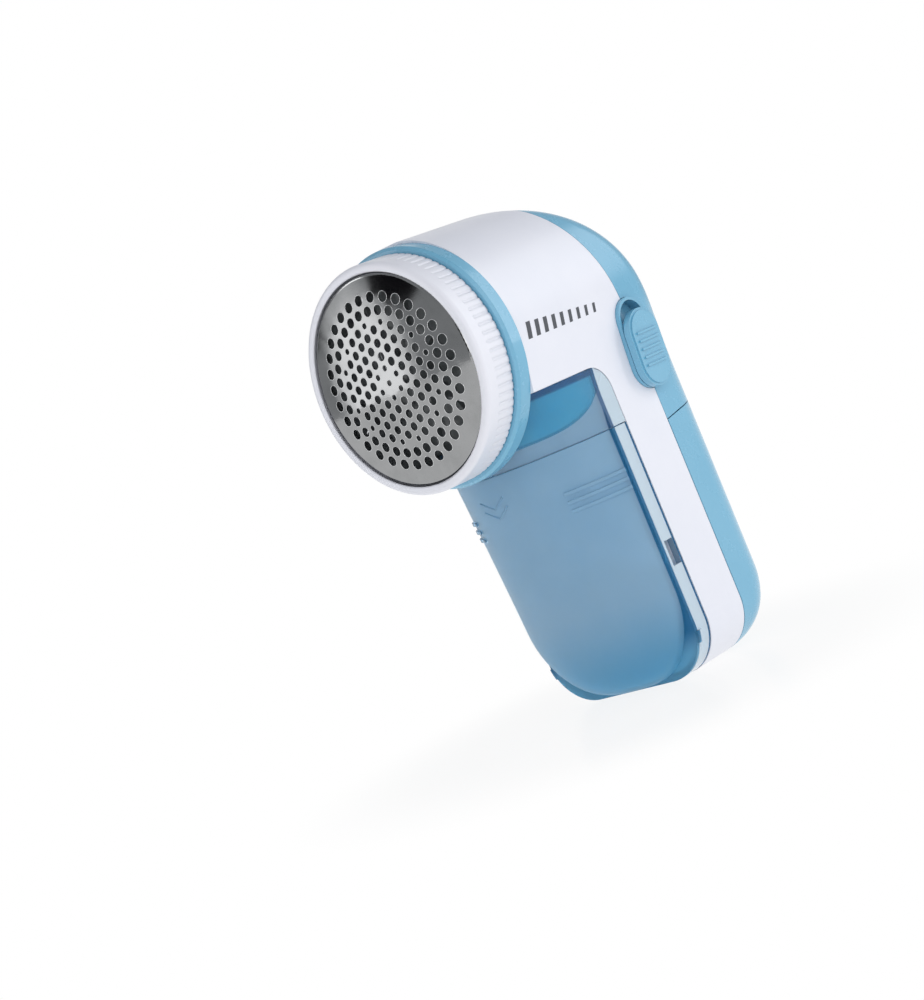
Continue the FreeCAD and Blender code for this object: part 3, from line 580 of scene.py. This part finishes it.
def foil_hole_lips():
    """The thin raised lip that punching leaves round every hole."""
    lip, facets = 0.075 * MM, 20
    sunk = lip * 0.35
    shape = bmesh.new()
    for x, z, hole in foil_hole_places():
        path = []
        for step in range(facets):
            turn = 2 * math.pi * step / facets
            lip_x = x + (hole + lip * 0.5) * math.cos(turn)
            lip_z = z + (hole + lip * 0.5) * math.sin(turn)
            path.append(Vector((lip_x, dome_y(lip_x, lip_z) + sunk, head_axis.z + lip_z)))
        add_tube(shape, path, lip, 6, closed=True)
    new_piece("foil_hole_lips", shape, "foil", lip_steel)


def coil(name, body, start, along, length, radius, turns, wire, replaced):
    """A round-wire spring with closed ends. It rides on no body if none is given."""
    steps_per_turn = 24
    side = along.orthogonal().normalized()
    over = along.cross(side)
    shape = bmesh.new()
    path = []
    steps = int(turns * steps_per_turn)
    for step in range(steps + 1):
        share = step / steps
        eased = min(max((share * turns - 1) / (turns - 2), 0.0), 1.0)
        turn = 2 * math.pi * turns * share
        path.append(start + along * (wire + (length - 2 * wire) * eased)
                    + (side * math.cos(turn) + over * math.sin(turn)) * (radius - wire))
    add_tube(shape, path, wire, 8)
    piece = new_piece(name, shape, body, nickel)
    if replaced:
        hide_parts(replaced)
    return piece


def springs():
    """The cutter's spring, which shortens between hub and fan, and the two springs that press the cells."""
    low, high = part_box("cutter_spring")
    front = Vector((0.0, low.y, head_axis.z))
    cutter_coil = coil("cutter_spring_coil", None, front, Vector((0.0, 1.0, 0.0)), high.y - low.y,
                       (high.x - low.x) / 2, 4.5, 0.16 * MM, "cutter_spring")
    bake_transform(cutter_coil)

    low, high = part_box("battery_springs")
    upward = Vector((0.0, 0.0, 1.0))
    radius, gap = 3.2 * MM, 0.05 * MM
    middle = (low.y + high.y) / 2
    base_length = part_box("battery_cell_right")[0].z - low.z
    coil("battery_spring_low", "casing", Vector((high.x - radius, middle, low.z)), upward,
         base_length - gap, radius, 5, 0.28 * MM, "battery_springs")
    top_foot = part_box("battery_cell_left")[1].z
    coil("battery_spring_high", "casing", Vector((low.x + radius, middle, top_foot + gap)), upward,
         high.z - top_foot - 2 * gap, radius, 5, 0.22 * MM, None)


def side_print():
    """A plain printed motif along the barrel: slanted strokes that shorten towards the back."""
    skin = Skin("housing_right")
    shape = bmesh.new()
    foot = head_axis.z - 3.2 * MM
    start = rim_y + 16.5 * MM
    strokes, pitch, lean = 9, 3.55 * MM, 0.28
    rows, ink_lift = 8, 0.03 * MM
    for index in range(strokes):
        tall = (4.1 - 0.22 * index) * MM
        wide = (1.75 - 0.08 * index) * MM
        made = []
        for row in range(rows + 1):
            rise = tall * row / rows
            left = start + index * pitch + lean * rise
            line = [skin.from_side(left + across, foot + rise, ink_lift) for across in (0.0, wide / 2, wide)]
            made.append([shape.verts.new(spot) for spot in line])
        for below, above in zip(made, made[1:]):
            for column in (0, 1):
                shape.faces.new((below[column], below[column + 1], above[column + 1], above[column]))
    new_piece("side_print", shape, "casing", ink)


def bin_mark():
    """Two raised chevrons high on the bin's front."""
    skin = Skin("lint_bin")
    shape = bmesh.new()
    middle = -4.0 * MM
    arm_steps, step_wide, step_tall = 6, 0.75 * MM, 0.42 * MM
    for row in range(2):
        top = bin_high.z - (5.5 + 2.6 * row) * MM
        path = []
        for step in range(-arm_steps, arm_steps + 1):
            x = middle + step * step_wide
            z = top - (arm_steps - abs(step)) * step_tall
            path.append(skin.from_front(x, z, 0.05 * MM))
        add_tube(shape, path, 0.28 * MM, 8)
    new_piece("bin_mark", shape, "bin", frosted)


def handle_ribs():
    """Low upright ribs on the handle's front wall, seen faintly through the bin."""
    wall_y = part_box("bin_catches")[1].y
    ribs_each_side, pitch, half_wide = 7, 2.3 * MM, 0.35 * MM
    proud, thick = 0.7 * MM, 0.75 * MM
    low = floor_z + 6.0 * MM
    shape = bmesh.new()
    for index in range(-ribs_each_side, ribs_each_side + 1):
        x = index * pitch
        high = floor_z + (34.0 - abs(index) * 0.8) * MM
        corners = [Vector((x + side * half_wide, wall_y - proud, z))
                   for side, z in ((-1, low), (1, low), (1, high), (-1, high))]
        add_slab(shape, corners, Vector((0.0, -1.0, 0.0)), thick)
    bmesh.ops.bevel(shape, geom=shape.edges[:], offset=0.12 * MM, segments=2, affect="EDGES")
    new_piece("handle_ribs", shape, "casing", white)


def door_grip():
    """Seven raised finger bars near the top of the battery door."""
    skin = Skin("battery_door")
    bars, half, spans = 7, 7.5 * MM, 16
    shape = bmesh.new()
    for index in range(bars):
        z = door_top - (9.0 + 2.2 * index) * MM
        path = [skin.from_back(-half + 2 * half * step / spans, z, 0.02 * MM) for step in range(spans + 1)]
        add_tube(shape, path, 0.32 * MM, 8)
    new_piece("door_grip", shape, "door", sky_blue)


lip_steel = ground_steel("punched_lip", (0.80, 0.81, 0.82), 0.10)
foil_hole_lips()
springs()
side_print()
bin_mark()
handle_ribs()
door_grip()


# ---------------------------------------------------------------- stage, light and camera
def studio():
    """A white world for the camera, with a soft grey studio of light panels for everything that reflects."""
    world = bpy.data.worlds.new("studio")
    bpy.context.scene.world = world
    room = Wiring(world)
    direction = room.node("ShaderNodeTexCoord", output="Generated")
    height = room.node("ShaderNodeSeparateXYZ", None, {0: direction}, "Z")

    def panel(azimuth, elevation, inner, outer):
        """1 inside a round patch of the sky, fading to 0 between two cosines."""
        turn, lift = math.radians(azimuth), math.radians(elevation)
        toward = (math.sin(turn) * math.cos(lift), -math.cos(turn) * math.cos(lift), math.sin(lift))
        facing = room.node(
            "ShaderNodeVectorMath", {"operation": "DOT_PRODUCT"}, {0: direction, 1: toward}, "Value")
        return facing.ramp(outer, inner)

    sky = room.mix(height.ramp(0.1, 0.9), (0.42, 0.43, 0.44), (0.35, 0.36, 0.38))
    for azimuth, elevation, inner, outer, colour in (
        (60, 18, 0.92, 0.60, (1.0, 1.0, 1.02)),
        (225, 6, 0.94, 0.86, (0.85, 0.85, 0.86)),
        (150, 25, 0.97, 0.93, (1.7, 1.75, 1.8)),
        (-50, 3, 0.993, 0.965, (1.9, 1.9, 1.9)),
        (-36, 21, 0.990, 0.984, (0.008, 0.008, 0.01)),
        (-54, 23, 0.996, 0.992, (3.0, 3.0, 3.0)),
        (-68, 14, 0.995, 0.991, (0.01, 0.01, 0.012)),
        (2, 4, 0.990, 0.985, (0.01, 0.01, 0.012)),
        (16, 4, 0.996, 0.992, (3.0, 3.0, 3.0)),
    ):
        sky = room.mix(panel(azimuth, elevation, inner, outer), sky, colour)
    lit = room.node("ShaderNodeBackground", None, {"Color": sky})
    seen = room.node("ShaderNodeBackground", None, {"Color": WHITE_LIGHT})
    for_camera = room.node("ShaderNodeLightPath", output="Is Camera Ray")
    shown = room.node("ShaderNodeMixShader", None, {0: for_camera, 1: lit, 2: seen})
    room.node("ShaderNodeOutputWorld", None, {0: shown}, None)


def white_floor():
    """Pale laminate that glows a little, so that it runs out into the white background unseen."""
    finish = Finish("white_floor", Roughness=0.22)
    paper = finish.noise(20 * MM, 4.0)
    glow = finish.node("ShaderNodeEmission", None, {"Color": WHITE_LIGHT, "Strength": 1.0})
    reach = finish.node("ShaderNodeVectorMath", {"operation": "LENGTH"}, {0: finish.place}, "Value")
    finish.feed(Base_Color=finish.mix(paper, *FLOOR_WHITE))
    far = reach.ramp(0.045, 0.10) * 0.15 + 0.85
    finish.covered(far, glow)
    return finish.material


def floor_disc():
    """A round floor just under the foot."""
    clearance = 0.0002
    mesh = bpy.data.meshes.new("floor")
    shape = bmesh.new()
    bmesh.ops.create_circle(shape, cap_ends=True, radius=4.0, segments=96)
    shape.to_mesh(mesh)
    shape.free()
    disc = bpy.data.objects.new("floor", mesh)
    bpy.context.scene.collection.objects.link(disc)
    disc.data.materials.append(white_floor())
    disc.location.z = floor_z - clearance


def soft_light(name, azimuth, elevation, distance, size, power):
    """A white area light aimed at the body from a heading and a height, both in degrees."""
    target = Vector((0.0, 0.0, head_axis.z * 0.75))
    turn, lift = math.radians(azimuth), math.radians(elevation)
    toward = Vector((math.sin(turn) * math.cos(lift), -math.cos(turn) * math.cos(lift), math.sin(lift)))
    data = bpy.data.lights.new(name, "AREA")
    data.shape = "RECTANGLE"
    data.size, data.size_y = size
    data.energy = power
    lamp = bpy.data.objects.new(name, data)
    bpy.context.scene.collection.objects.link(lamp)
    lamp.location = target + toward * distance
    lamp.rotation_euler = toward.to_track_quat("Z", "Y").to_euler()


def photographer():
    """The camera stands off the head's front right corner, a little above it, and leans to the right."""
    azimuth, elevation, roll = math.radians(45.4), math.radians(3.0), math.radians(22.6)
    back = Vector((math.sin(azimuth) * math.cos(elevation), -math.cos(azimuth) * math.cos(elevation),
                   math.sin(elevation)))
    right = Vector((math.cos(azimuth), math.sin(azimuth), 0.0))
    up = back.cross(right)
    lean_right = right * math.cos(roll) - up * math.sin(roll)
    lean_up = right * math.sin(roll) + up * math.cos(roll)
    centre = Vector((0.0, rim_y, head_axis.z))
    distance = 0.550
    offset_right, offset_up = 15.83 * MM, 28.96 * MM
    data = bpy.data.cameras.new("camera")
    data.sensor_width = 36.0
    data.lens = 81.9
    data.clip_start = 0.01
    camera = bpy.data.objects.new("camera", data)
    bpy.context.scene.collection.objects.link(camera)
    spot = centre + back * distance + lean_right * offset_right - lean_up * offset_up
    facing = Matrix((lean_right, lean_up, back)).transposed()
    camera.matrix_world = Matrix.Translation(spot) @ facing.to_4x4()
    bpy.context.scene.camera = camera


studio()
floor_disc()
soft_light("key", 64, 24, 0.9, (0.6, 0.6), 0.95)
soft_light("strip", 132, 14, 0.8, (0.10, 0.9), 1.0)
photographer()
bpy.context.scene.view_settings.view_transform = "Standard"
